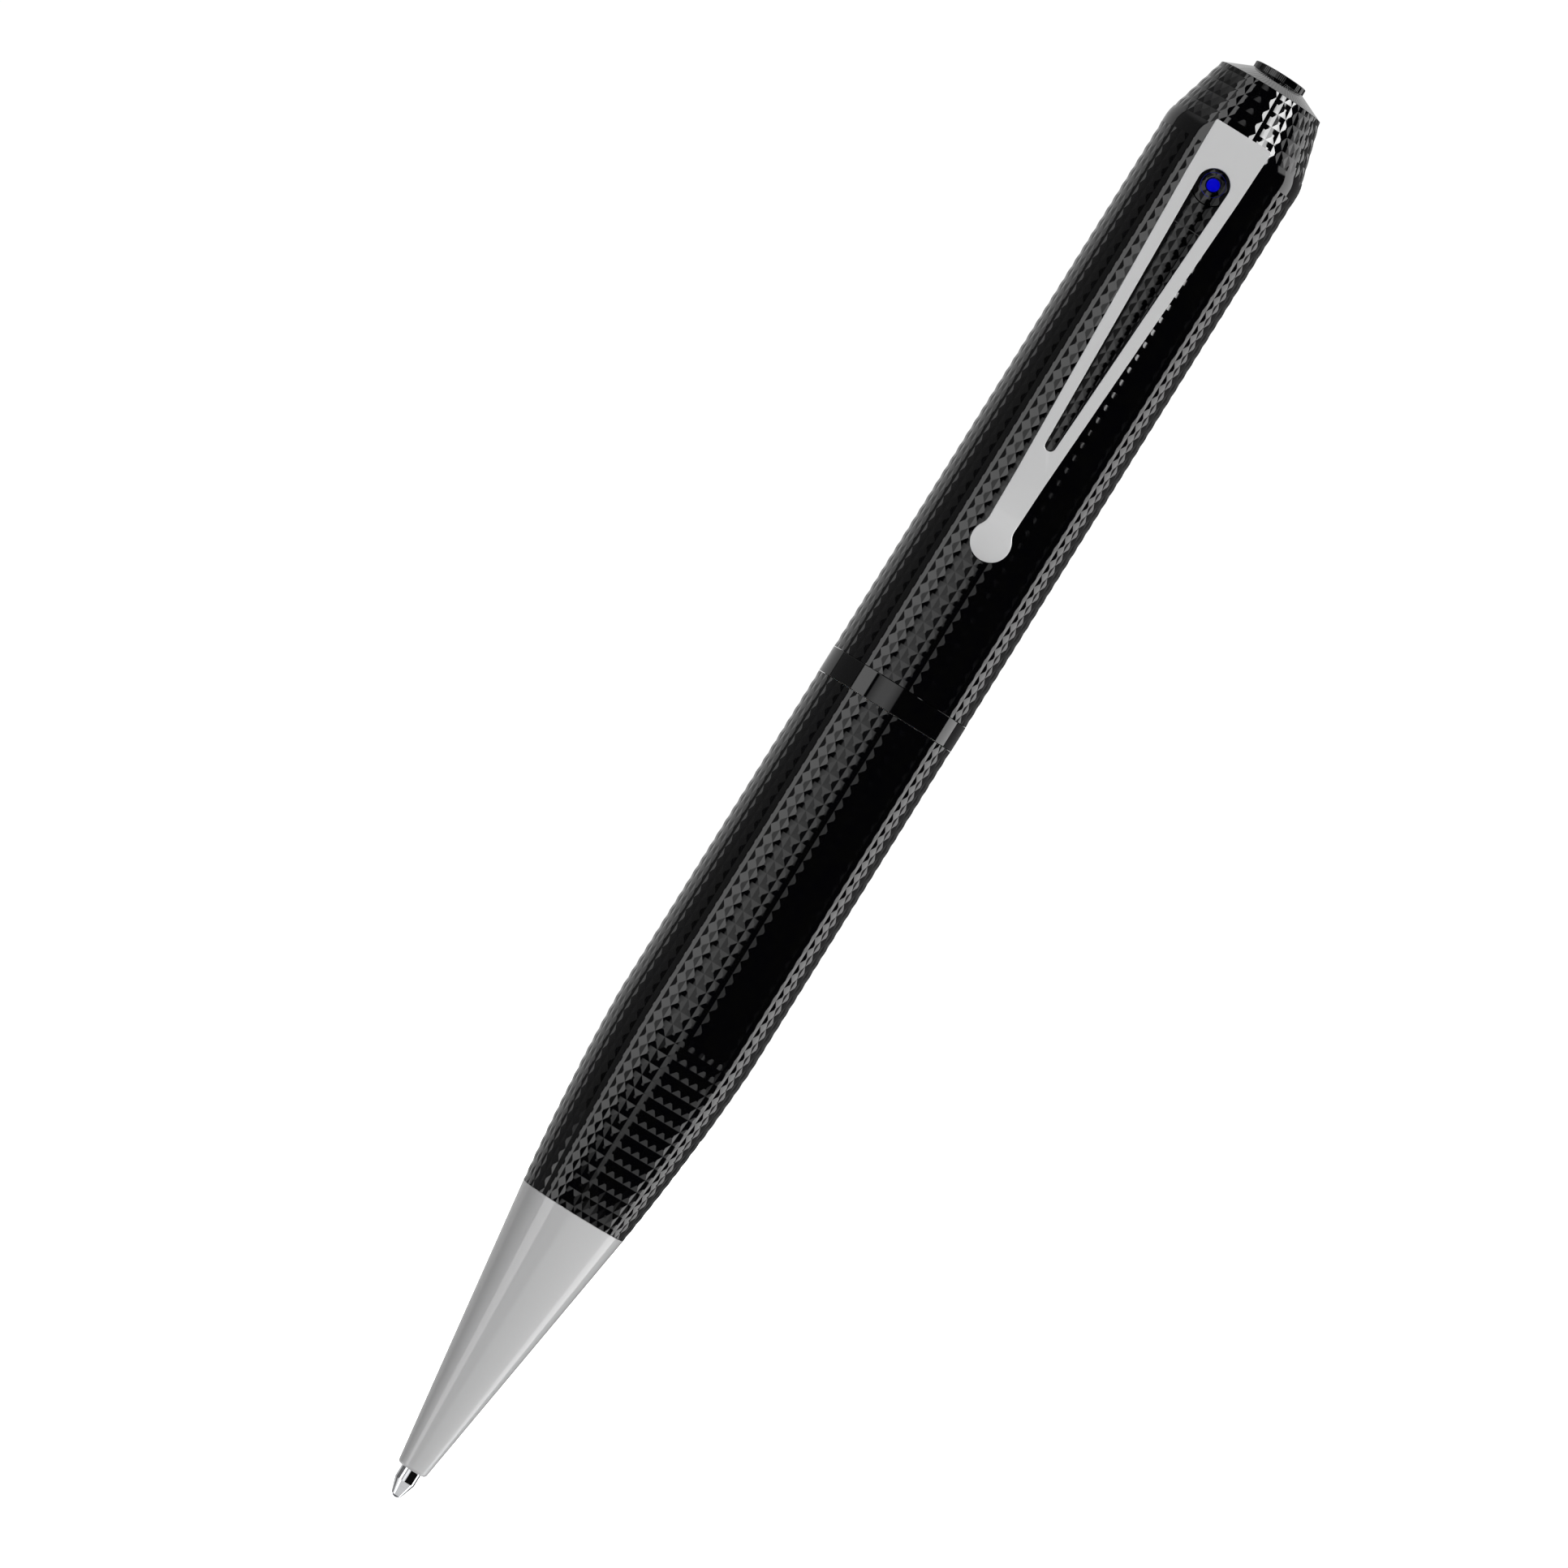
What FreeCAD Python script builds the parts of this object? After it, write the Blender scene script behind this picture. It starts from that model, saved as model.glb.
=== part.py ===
import FreeCAD, Part
import math
import os
import re

import Sketcher

# A twist-action ballpoint pen with a pinhole video camera behind its clip, in millimetres.
# The pen's axis is Z. The writing tip, extended, is at the origin, and the record button is at the top.
# The clip and the lens face -Y.

doc = FreeCAD.newDocument("pen_camera")
sizes = doc.addObject("Spreadsheet::Sheet", "sizes")

DRIVING = {
    "overall_length": 150.0,
    # outside of the barrel
    "barrel_radius": 6.94,
    "barrel_wall": 0.69,
    "nose_end_z": 2.85,
    "nose_end_radius": 1.43,
    "nose_seam_z": 30.2,
    "nose_seam_radius": 5.25,
    "swell_top_z": 49.2,
    "swell_radius": 208.0,
    "band_bottom_z": 82.95,
    "band_top_z": 85.45,
    "joint_gap": 0.05,
    "lead_length": 0.6,
    "lead_depth": 0.12,
    "cap_bottom_z": 140.8,
    "cap_corner_z": 142.0,
    "cap_rim_z": 148.2,
    "cap_rim_radius": 5.195,
    "crown_bore": 2.68,
    "crown_slope": 0.458,
    # record button
    "button_radius": 2.58,
    "button_bottom_z": 149.0,
    "button_travel": 0.35,
    "stem_radius": 1.6,
    # running fits
    "running_gap": 0.05,
    "slot_gap": 0.06,
    # writing end
    "refill_radius": 1.175,
    "refill_bore": 0.85,
    "refill_top_z": 67.0,
    "point_radius": 0.98,
    "ball_radius": 0.47,
    "refill_travel": 3.4,
    "holder_radius": 3.45,
    "holder_bottom_z": 57.0,
    "holder_top_z": 66.5,
    "pin_radius": 0.6,
    "pin_z": 61.5,
    "guide_inner": 3.5,
    "guide_outer": 4.5,
    "guide_bottom_z": 50.0,
    "guide_top_z": 70.2,
    "mechanism_bore": 6.4,
    "spring_radius": 2.2,
    "spring_wire": 0.22,
    "spring_coils": 6.0,
    # twist core
    "core_inner": 4.6,
    "core_outer": 5.4,
    "core_bottom_z": 55.0,
    "web_bottom_z": 70.6,
    "web_top_z": 72.2,
    "sleeve_inner": 5.98,
    "sleeve_outer": 6.33,
    "snap_z": 71.0,
    "snap_height": 0.6,
    "snap_inner": 5.85,
    "snap_outer": 6.55,
    # electronics chassis
    "plug_radius": 5.9,
    "plug_bottom_z": 74.5,
    "plug_top_z": 95.0,
    "board_half_width": 5.2,
    "board_y": 0.35,
    "board_thickness": 0.8,
    "board_bottom_z": 75.6,
    "board_top_z": 94.9,
    "card_half_width": 5.5,
    "card_length": 15.0,
    "card_thickness": 0.75,
    "card_y": -0.95,
    "card_bottom_z": 75.1,
    # battery
    "battery_radius": 5.2,
    "battery_bottom_z": 98.0,
    "battery_top_z": 129.0,
    "pad_thickness": 0.8,
    # camera
    "lens_z": 138.0,
    "lens_radius": 0.6,
    "window_radius": 0.72,
    "bezel_radius": 1.96,
    "module_half": 3.0,
    "module_front_y": -3.9,
    "module_back_y": -0.5,
    # clip
    "clip_top_z": 143.07,
    "clip_bottom_z": 98.7,
    "clip_thickness": 0.8,
    "clip_face_y": 8.9,
    "clip_neck_y": 8.2,
    "clip_neck_z": 103.6,
    "clip_top_half": 2.88,
    "clip_neck_half": 1.32,
    "paddle_radius": 1.87,
    "bump_radius": 0.5,
    "slot_top_half": 1.51,
    "slot_top_z": 137.87,
    "slot_low_half": 0.5,
    "slot_low_z": 110.6,
    "foot_half_width": 2.35,
    "foot_bottom_z": 141.1,
    "foot_top_z": 142.7,
}

for row, (alias, number) in enumerate(DRIVING.items(), start=1):
    sizes.set(f"A{row}", alias)
    sizes.set(f"B{row}", str(number))
    sizes.setAlias(f"B{row}", alias)
doc.recompute()

ALIAS = re.compile(r"\b(" + "|".join(DRIVING) + r")\b")
pieces = []


def formula(text):
    """An expression that reads the sheet, from text that names its aliases."""
    return ALIAS.sub(r"sizes.\1", str(text))


def measure(text):
    return float(sizes.evalExpression(formula(text)))


def bind(item, name, text):
    item.setExpression(name, formula(text))


def place(item, x, y, z, axis=None, degrees=0):
    if axis is not None:
        item.Placement.Rotation = FreeCAD.Rotation(FreeCAD.Vector(*axis), degrees)
    for letter, text in zip("xyz", (x, y, z)):
        bind(item, f".Placement.Base.{letter}", text)


def keep(item, label):
    """Name a finished sub-part, so that it is checked and written."""
    item.Label = label
    pieces.append(item)
    return item


def originPlane(body, role):
    return next(part for part in body.Origin.OriginFeatures if part.Role == role)


def newSketch(body, role, name):
    sketch = body.newObject("Sketcher::SketchObject", name)
    sketch.AttachmentSupport = [(originPlane(body, role), "")]
    sketch.MapMode = "FlatFace"
    return sketch


def arcThrough(start, end, radius):
    """An arc from start to end that bulges to the right of that direction."""
    middle = (start + end) / 2
    chord = end - start
    half = chord.Length / 2
    aside = FreeCAD.Vector(chord.y, -chord.x, 0).normalize()
    rise = radius - math.sqrt(radius**2 - half**2)
    return Part.Arc(start, middle + aside * rise, end)


def drawOutline(sketch, outline):
    """A closed outline of (across, up) corners. A third entry makes the side that arrives there an arc."""
    corners = [FreeCAD.Vector(measure(across), measure(up), 0) for across, up, *_ in outline]
    ends = []
    for index, corner in enumerate(corners):
        before = corners[index - 1]
        if len(outline[index]) == 3:
            side = arcThrough(before, corner, measure(outline[index][2]))
            side = sketch.addGeometry(side, False)
            sketch.addConstraint(Sketcher.Constraint("Radius", side, measure(outline[index][2])))
            bind(sketch, f"Constraints[{sketch.ConstraintCount - 1}]", outline[index][2])
            forward = sketch.Geometry[side].StartPoint.distanceToPoint(before) < 1e-6
        else:
            side = sketch.addGeometry(Part.LineSegment(before, corner), False)
            forward = True
        ends.append((side, 1 if forward else 2, 2 if forward else 1))
    for index, (side, _, last) in enumerate(ends):
        following, first, _ = ends[(index + 1) % len(ends)]
        sketch.addConstraint(Sketcher.Constraint("Coincident", side, last, following, first))
        for kind, text, at in zip(("DistanceX", "DistanceY"), outline[index], corners[index]):
            sketch.addConstraint(Sketcher.Constraint(kind, -1, 1, side, last, at))
            bind(sketch, f"Constraints[{sketch.ConstraintCount - 1}]", text)


def turned(name, outline):
    """A body of revolution about Z, from (radius, height) corners."""
    body = doc.addObject("PartDesign::Body", name)
    sketch = newSketch(body, "XZ_Plane", name + "_profile")
    drawOutline(sketch, outline)
    revolution = body.newObject("PartDesign::Revolution", name + "_turned")
    revolution.Profile = sketch
    revolution.ReferenceAxis = (sketch, ["V_Axis"])
    revolution.Angle = 360
    body.Tip = revolution
    return body


def padded(name, role, length, outline):
    """A prism on both sides of an origin plane, from a closed outline."""
    body = doc.addObject("PartDesign::Body", name)
    sketch = newSketch(body, role, name + "_sketch")
    drawOutline(sketch, outline)
    pad = body.newObject("PartDesign::Pad", name + "_pad")
    pad.Profile = sketch
    bind(pad, "Length", length)
    pad.Midplane = True
    body.Tip = pad
    return body


def tube(name, inner, outer, bottom, top):
    return turned(name, [(inner, bottom), (outer, bottom), (outer, top), (inner, top)])


def block(name, west, east, front, back, bottom, top):
    """A box between two limits along X, Y and Z."""
    box = doc.addObject("Part::Box", name)
    bind(box, "Length", f"({east}) - ({west})")
    bind(box, "Width", f"({back}) - ({front})")
    bind(box, "Height", f"({top}) - ({bottom})")
    place(box, west, front, bottom)
    return box


def slab(name, half, front, back, bottom, top):
    """A box that is centred on the pen's plane of symmetry."""
    return block(name, f"-({half})", half, front, back, bottom, top)


def rod(name, radius, front, back, x, z):
    """A cylinder along Y."""
    cylinder = doc.addObject("Part::Cylinder", name)
    bind(cylinder, "Radius", radius)
    bind(cylinder, "Height", f"({back}) - ({front})")
    place(cylinder, x, front, z, (1, 0, 0), -90)
    return cylinder


def cut(name, base, *tools):
    for index, tool in enumerate(tools):
        last = index == len(tools) - 1
        result = doc.addObject("Part::Cut", name if last else f"{name}_step{index}")
        result.Base = base
        result.Tool = tool
        base = result
    return base


def common(name, base, tool):
    result = doc.addObject("Part::Common", name)
    result.Base = base
    result.Tool = tool
    return result


def grouped(name, *parts):
    group = doc.addObject("Part::Compound", name)
    group.Links = list(parts)
    return group


def joined(name, *parts):
    union = doc.addObject("Part::MultiFuse", name)
    union.Shapes = list(parts)
    return union


# ---------------------------------------------------------------- lower half


def makeNoseCone():
    spigot = "4.4"
    outline = [
        ("point_radius + 0.07", "nose_end_z"),
        ("nose_end_radius - 0.3", "nose_end_z"),
        ("nose_end_radius + 0.04", "nose_end_z + 0.4", "0.4"),
        ("nose_seam_radius", "nose_seam_z"),
        (spigot, "nose_seam_z"),
        (spigot, "nose_seam_z + 4.8"),
        ("3.4", "nose_seam_z + 4.8"),
        ("3.4", "nose_seam_z - 3"),
        ("refill_radius + 0.125", "nose_end_z + 12"),
        ("refill_radius + 0.125", "nose_end_z + 2.6"),
        ("point_radius + 0.07", "nose_end_z + 2.6"),
    ]
    keep(turned("nose_cone", outline), "nose_cone")


def makeLowerBarrel():
    groove = "snap_outer + running_gap"
    outline = [
        ("4.4", "nose_seam_z"),
        ("nose_seam_radius + 0.02", "nose_seam_z"),
        ("barrel_radius", "swell_top_z", "swell_radius"),
        ("barrel_radius", "band_bottom_z - joint_gap - lead_length"),
        ("barrel_radius - lead_depth", "band_bottom_z - joint_gap"),
        ("mechanism_bore", "band_bottom_z - joint_gap"),
        ("mechanism_bore", "snap_z + snap_height + running_gap"),
        (groove, "snap_z + snap_height + running_gap"),
        (groove, "snap_z - running_gap"),
        ("mechanism_bore", "snap_z - running_gap"),
        ("mechanism_bore", "guide_bottom_z"),
        ("4.4", "guide_bottom_z"),
    ]
    keep(turned("lower_barrel", outline), "lower_barrel")


def makeGuideTube():
    """The tube that turns with the lower barrel and keeps the cam pin in a straight slot."""
    outline = [
        ("refill_radius + 0.125", "guide_bottom_z"),
        ("mechanism_bore", "guide_bottom_z"),
        ("mechanism_bore", "guide_bottom_z + 1.5"),
        ("guide_outer", "guide_bottom_z + 1.5"),
        ("guide_outer", "guide_top_z"),
        ("guide_inner", "guide_top_z"),
        ("guide_inner", "guide_bottom_z + 1.5"),
        ("refill_radius + 0.125", "guide_bottom_z + 1.5"),
    ]
    slot = "pin_radius + slot_gap"
    body = turned("guide_tube_turned", outline)
    run = slab("guide_slot_run", slot, "-guide_outer - 1", "0", "pin_z", "pin_z + refill_travel")
    low = rod("guide_slot_low", slot, "-guide_outer - 1", "0", "0", "pin_z")
    high = rod("guide_slot_high", slot, "-guide_outer - 1", "0", "0", "pin_z + refill_travel")
    keep(cut("guide_tube", body, joined("guide_slot", run, low, high)), "guide_tube")


def makeRefill():
    point = [
        ("0", "ball_radius * 1.9"),
        ("ball_radius * 0.8", "ball_radius * 1.4"),
        ("ball_radius + 0.02", "ball_radius * 0.75"),
        ("point_radius", "1.6"),
        ("point_radius", "nose_end_z + 2.75"),
        ("0", "nose_end_z + 2.75"),
    ]
    keep(turned("refill_point", point), "refill_point")
    ball = doc.addObject("Part::Sphere", "ball_whole")
    bind(ball, "Radius", "ball_radius")
    place(ball, "0", "0", "ball_radius")
    socket = turned("ball_socket", point)
    keep(cut("writing_ball", ball, socket), "writing_ball")
    bottom = "nose_end_z + 2.75"
    ink_top = "refill_top_z - 12"
    tube_outline = [
        ("refill_bore", bottom),
        ("refill_radius", bottom),
        ("refill_radius", "refill_top_z"),
        ("refill_bore", "refill_top_z"),
    ]
    keep(turned("refill_tube", tube_outline), "refill_tube")
    ink = [("0", bottom), ("refill_bore", bottom), ("refill_bore", ink_top), ("0", ink_top)]
    keep(turned("ink_column", ink), "ink_column")


def makeRefillHolder():
    body = tube("holder_turned", "refill_radius", "holder_radius", "holder_bottom_z", "holder_top_z")
    bore = rod("holder_pin_bore", "pin_radius", "-holder_radius - 1", "-refill_radius - 0.6", "0", "pin_z")
    keep(cut("refill_holder", body, bore), "refill_holder")
    pin = rod("cam_pin", "pin_radius", "-core_outer + 0.1", "-refill_radius - 0.6", "0", "pin_z")
    keep(pin, "cam_pin")


def makeRefillSpring():
    """A compression spring between the guide tube's shelf and the refill holder."""
    length = "holder_bottom_z - guide_bottom_z - 1.5 - 2 * spring_wire"
    helix = doc.addObject("Part::Helix", "spring_path")
    bind(helix, "Radius", "spring_radius")
    bind(helix, "Pitch", f"({length}) / spring_coils")
    bind(helix, "Height", length)
    helix.Style = 1
    wire = doc.addObject("Part::Circle", "spring_section")
    bind(wire, "Radius", "spring_wire")
    place(wire, "spring_radius", "0", "0", (1, 0, 0), 90)
    doc.recompute()
    sweep = doc.addObject("Part::Sweep", "refill_spring")
    sweep.Sections = [wire]
    sweep.Spine = (helix, [f"Edge{number + 1}" for number in range(len(helix.Shape.Edges))])
    sweep.Solid = True
    sweep.Frenet = True
    place(sweep, "0", "0", "guide_bottom_z + 1.5 + spring_wire")
    keep(sweep, "refill_spring")


# ---------------------------------------------------------------- twist ring


def makeTwistCore():
    """The cam sleeve, its web and the sleeve that plugs onto the upper half, as one moulding."""
    outline = [
        ("core_inner", "core_bottom_z"),
        ("core_outer", "core_bottom_z"),
        ("core_outer", "web_bottom_z"),
        ("sleeve_outer", "web_bottom_z"),
        ("sleeve_outer", "snap_z"),
        ("snap_inner", "snap_z"),
        ("snap_inner", "snap_z + snap_height"),
        ("sleeve_outer", "snap_z + snap_height"),
        ("sleeve_outer", "band_top_z"),
        ("sleeve_inner", "band_top_z"),
        ("sleeve_inner", "web_top_z"),
        ("0", "web_top_z"),
        ("0", "web_bottom_z"),
        ("core_inner", "web_bottom_z"),
    ]
    body = turned("twist_core_turned", outline)
    slot = doc.addObject("Part::Feature", "helical_slot")
    slot.Shape = helicalSlot()
    keep(cut("twist_core", body, slot), "twist_core")


def helicalSlot():
    """The cam pin's path over half a turn, rising by the refill's travel."""
    half = measure("pin_radius + slot_gap")
    inner = measure("core_inner") - 0.5
    outer = measure("core_outer") + 0.5
    radius = (inner + outer) / 2
    start = measure("pin_z")
    travel = measure("refill_travel")
    helix = Part.makeHelix(2 * travel, travel, radius)
    slope = math.degrees(math.atan2(travel, math.pi * radius))
    across = (outer - inner) / 2
    corners = [(-across, -half), (across, -half), (across, half), (-across, half)]
    section = Part.makePolygon([FreeCAD.Vector(x, 0, z) for x, z in corners + corners[:1]])
    section.rotate(FreeCAD.Vector(), FreeCAD.Vector(1, 0, 0), slope)
    section.translate(FreeCAD.Vector(radius, 0, 0))
    run = Part.Wire(helix).makePipeShell([section], True, True)
    end_low = Part.makeCylinder(half, outer - inner, FreeCAD.Vector(inner, 0, 0), FreeCAD.Vector(1, 0, 0))
    end_high = end_low.copy()
    end_high.rotate(FreeCAD.Vector(), FreeCAD.Vector(0, 0, 1), 180)
    end_high.translate(FreeCAD.Vector(0, 0, travel))
    path = run.fuse([end_low, end_high])
    path.rotate(FreeCAD.Vector(), FreeCAD.Vector(0, 0, 1), -90)
    path.translate(FreeCAD.Vector(0, 0, start))
    return path


def makeTwistTrim():
    band = tube("joint_band", "sleeve_outer", "barrel_radius", "band_bottom_z", "band_top_z")
    keep(band, "joint_band")
    ring = tube("snap_ring_whole", "snap_inner", "snap_outer", "snap_z", "snap_z + snap_height")
    gap = slab("snap_ring_gap", "1.2", "0", "snap_outer + 1", "snap_z - 1", "snap_z + 2")
    keep(cut("snap_ring", ring, gap), "snap_ring")


# ---------------------------------------------------------------- upper half


def makeUpperBarrel():
    inner = "barrel_radius - barrel_wall"
    bottom = "band_top_z + joint_gap"
    body = tube("upper_barrel_tube", inner, "barrel_radius", bottom, "cap_bottom_z")
    hole = rod("window_hole", "bezel_radius", "-barrel_radius - 1", "0", "0", "lens_z")
    keep(cut("upper_barrel", body, hole), "upper_barrel")


def makeWindow():
    """The round insert that follows the barrel's surface, and the flat glass in its middle."""
    skin = tube("bezel_skin", "barrel_radius - barrel_wall", "barrel_radius", "lens_z - 3", "lens_z + 3")
    plug = rod("bezel_plug", "bezel_radius", "-barrel_radius - 1", "0", "0", "lens_z")
    opening = rod("bezel_opening", "window_radius", "-barrel_radius - 2", "0", "0", "lens_z")
    keep(cut("window_bezel", common("bezel_round", skin, plug), opening), "window_bezel")
    front, back = "-barrel_radius + 0.1", "-barrel_radius + 0.35"
    glass = rod("camera_window", "window_radius", front, back, "0", "lens_z")
    keep(glass, "camera_window")


def makeCamera():
    half = "module_half"
    front = "module_front_y"
    back = "module_back_y"
    low = "lens_z - module_half"
    high = "lens_z + module_half"
    shell = slab("housing_shell", half, front, back, low, high)
    room = slab("housing_room", f"{half} - 0.5", f"{front} + 0.5", back, f"{low} + 0.5", f"{high} - 0.5")
    light = rod("housing_light", "lens_radius", f"{front} - 1", back, "0", "lens_z")
    keep(cut("camera_housing", shell, room, light), "camera_housing")
    tip = "-barrel_radius + 1.1"
    mount = rod("lens_mount", "1.8", tip, front, "0", "lens_z")
    seat = rod("lens_seat", "lens_radius", f"{tip} - 1", front, "0", "lens_z")
    keep(cut("lens_barrel", mount, seat), "lens_barrel")
    lens = rod("lens_element", "lens_radius", "-barrel_radius + 0.4", f"{tip} + 0.8", "0", "lens_z")
    keep(lens, "lens_element")
    sensor = slab("image_sensor", "2.2", f"{back} - 0.45", back, "lens_z - 1.8", "lens_z + 1.8")
    keep(sensor, "image_sensor")
    board = slab("camera_board_plate", "4.4", back, "0.3", "131", "141.5")
    holes = [
        rod(f"camera_board_hole_{side}", "0.5", "-1", "1", f"{side} * 3.75", "139.5") for side in (-1, 1)
    ]
    keep(cut("camera_board", board, *holes), "camera_board")


def makeCarrier():
    """The moulded cradle behind the camera, which also holds the round board under the button."""
    outline = [("0", "133.6"), ("5.6", "133.6"), ("5.6", "143"), ("0", "143")]
    column = turned("carrier_column", outline)
    behind = slab("carrier_keep", "7", "0.3", "5.2", "133", "144")
    body = common("carrier_body", column, behind)
    bores = [rod(f"carrier_bore_{side}", "0.5", "0", "3", f"{side} * 3.75", "139.5") for side in (-1, 1)]
    keep(cut("camera_carrier", body, *bores), "camera_carrier")
    screws = []
    for side in (-1, 1):
        place = (f"{side} * 3.75", "139.5")
        head = rod(f"screw_head_{side}", "0.7", "module_back_y - 0.4", "module_back_y", *place)
        shank = rod(f"screw_shank_{side}", "0.5", "module_back_y", "3", f"{side} * 3.75", "139.5")
        screws.append(joined(f"carrier_screw_{side}", head, shank))
    keep(grouped("carrier_screws", *screws), "carrier_screws")


def makeEndCap():
    """The tapered top of the barrel, with a spigot that the upper barrel slides over."""
    spigot = "barrel_radius - barrel_wall"
    outline = [
        ("5.75", "137.8"),
        (spigot, "137.8"),
        (spigot, "cap_bottom_z"),
        ("barrel_radius", "cap_bottom_z"),
        ("barrel_radius", "cap_corner_z"),
        ("cap_rim_radius", "cap_rim_z"),
        ("4.3", "cap_rim_z"),
        ("4.3", "cap_rim_z - 2"),
        ("5.75", "cap_rim_z - 4"),
    ]
    body = turned("end_cap_turned", outline)
    notch = slab("end_cap_notch", "2.2", "-7", "0", "137", "lens_z + 2.3")
    slot = slab("end_cap_slot", "foot_half_width", "-8", "0", "foot_bottom_z", "foot_top_z")
    keep(cut("end_cap", body, notch, slot), "end_cap")


def makeCrown():
    """The shallow cone around the button, with a threaded spigot below it."""
    mouth = "cap_rim_z + (cap_rim_radius - crown_bore) * crown_slope"
    floor = "button_bottom_z - button_travel - 0.1"
    outline = [
        ("stem_radius + running_gap", "cap_rim_z - 0.7"),
        ("stem_radius + running_gap", floor),
        ("crown_bore", floor),
        ("crown_bore", mouth),
        ("cap_rim_radius", "cap_rim_z"),
        ("4.3", "cap_rim_z"),
        ("4.3", "cap_rim_z - 1.6"),
        ("3.4", "cap_rim_z - 1.6"),
        ("3.4", "cap_rim_z - 0.7"),
    ]
    keep(turned("crown", outline), "crown")


def makeRecordButton():
    edge = "overall_length - 0.1"
    outline = [
        ("0", "cap_rim_z - 1.75"),
        ("stem_radius", "cap_rim_z - 1.75"),
        ("stem_radius", "cap_rim_z - 1.3"),
        ("stem_radius - 0.4", "cap_rim_z - 1.3"),
        ("stem_radius - 0.4", "cap_rim_z - 0.75"),
        ("stem_radius", "cap_rim_z - 0.75"),
        ("stem_radius", "button_bottom_z"),
        ("button_radius", "button_bottom_z"),
        ("button_radius", edge),
        ("button_radius - 0.1", "overall_length"),
        ("0", "overall_length"),
    ]
    keep(turned("record_button", outline), "record_button")
    ring = tube("retainer_whole", "stem_radius - 0.4", "2.5", "cap_rim_z - 1.3", "cap_rim_z - 0.75")
    mouth = slab("retainer_mouth", "0.9", "0", "3", "cap_rim_z - 2", "cap_rim_z")
    keep(cut("button_retainer", ring, mouth), "button_retainer")


def makeTopBoard():
    """The round board under the button, with its switch, microphone and light."""
    outline = [("0", "143"), ("5.35", "143"), ("5.35", "143.8"), ("0", "143.8")]
    keep(turned("top_board", outline), "top_board")
    stem_end = "cap_rim_z - 1.75"
    shell = slab("switch_shell", "2.25", "-2.25", "2.25", "143.8", "146")
    well = turned("switch_well", [("0", "144.5"), ("1.08", "144.5"), ("1.08", "147"), ("0", "147")])
    keep(cut("switch_housing", shell, well), "switch_housing")
    plunger = [("0", "145"), ("1", "145"), ("1", stem_end), ("0", stem_end)]
    keep(turned("switch_plunger", plunger), "switch_plunger")
    keep(block("microphone", "2.7", "4.1", "-0.9", "0.9", "143.8", "144.6"), "microphone")
    keep(block("status_led", "-3.9", "-2.9", "-0.4", "0.4", "143.8", "144.4"), "status_led")


def makeBattery():
    low = "battery_bottom_z"
    high = "battery_top_z"
    outline = [
        ("0", low),
        ("battery_radius - 0.5", low),
        ("battery_radius", f"{low} + 0.5"),
        ("battery_radius", f"{high} - 0.5"),
        ("battery_radius - 0.5", high),
        ("0", high),
    ]
    keep(turned("battery", outline), "battery")
    pads = []
    for name, base in (("pad_low", f"{low} - pad_thickness"), ("pad_high", high)):
        pad = doc.addObject("Part::Cylinder", name)
        bind(pad, "Radius", "battery_radius - 0.5")
        bind(pad, "Height", "pad_thickness")
        place(pad, "0", "0", base)
        pads.append(pad)
    keep(grouped("battery_pads", *pads), "battery_pads")


def makeFlexCable():
    """The flat cable that goes behind the battery, from the main board to the camera board."""
    film = 0.2
    low = measure("battery_bottom_z - pad_thickness") - 0.5
    high = measure("battery_top_z + pad_thickness") + 0.4
    main_back = measure("board_y + board_thickness")
    outline = [
        (main_back, 92.0),
        (main_back + film, 92.0),
        (main_back + film, low - film),
        (5.6, low - film),
        (5.6, high + film),
        (0.3 + film, high + film),
        (0.3 + film, 133.2),
        (0.3, 133.2),
        (0.3, high),
        (5.6 - film, high),
        (5.6 - film, low),
        (main_back, low),
    ]
    keep(padded("flex_cable", "YZ_Plane", "4", outline), "flex_cable")


# ---------------------------------------------------------------- chassis with the sockets


def makeTailPlug():
    """The moulded end of the upper half, which holds the main board, the card and the USB port."""
    wide = "barrel_radius - barrel_wall"
    outline = [
        ("0", "plug_bottom_z"),
        ("plug_radius", "plug_bottom_z"),
        ("plug_radius", "81"),
        ("plug_radius - 0.15", "81"),
        ("plug_radius - 0.15", "81.8"),
        ("plug_radius", "81.8"),
        ("plug_radius", "band_top_z + joint_gap"),
        (wide, "band_top_z + joint_gap"),
        (wide, "plug_top_z"),
        ("0", "plug_top_z"),
    ]
    body = turned("tail_plug_turned", outline)
    low = "plug_bottom_z - 1"
    high = "plug_top_z + 1"
    side = "card_half_width + running_gap"
    gap = "running_gap"
    card = slab("card_guide", side, f"card_y - {gap}", f"card_y + card_thickness + {gap}", low, high)
    board_back = "board_y + board_thickness"
    board = slab("board_groove", "board_half_width", "board_y", board_back, "board_bottom_z", high)
    parts_room = slab("parts_room", "3.7", board_back, "3.65", low, high)
    socket = slab("socket_room", "5.9", "-1.45", "board_y", "86", "92")
    reset = doc.addObject("Part::Cylinder", "reset_hole")
    reset.Radius = 0.65
    reset.Height = 2
    place(reset, "0", "-3.2", "plug_bottom_z - 0.5")
    switch_room = slab("switch_room", "1.5", "-4.2", "-2.2", "76", high)
    keep(cut("tail_plug", body, card, board, parts_room, socket, reset, switch_room), "tail_plug")
    ring = tube("friction_ring", "plug_radius - 0.15", "plug_radius + 0.05", "81", "81.8")
    keep(ring, "friction_ring")


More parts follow.
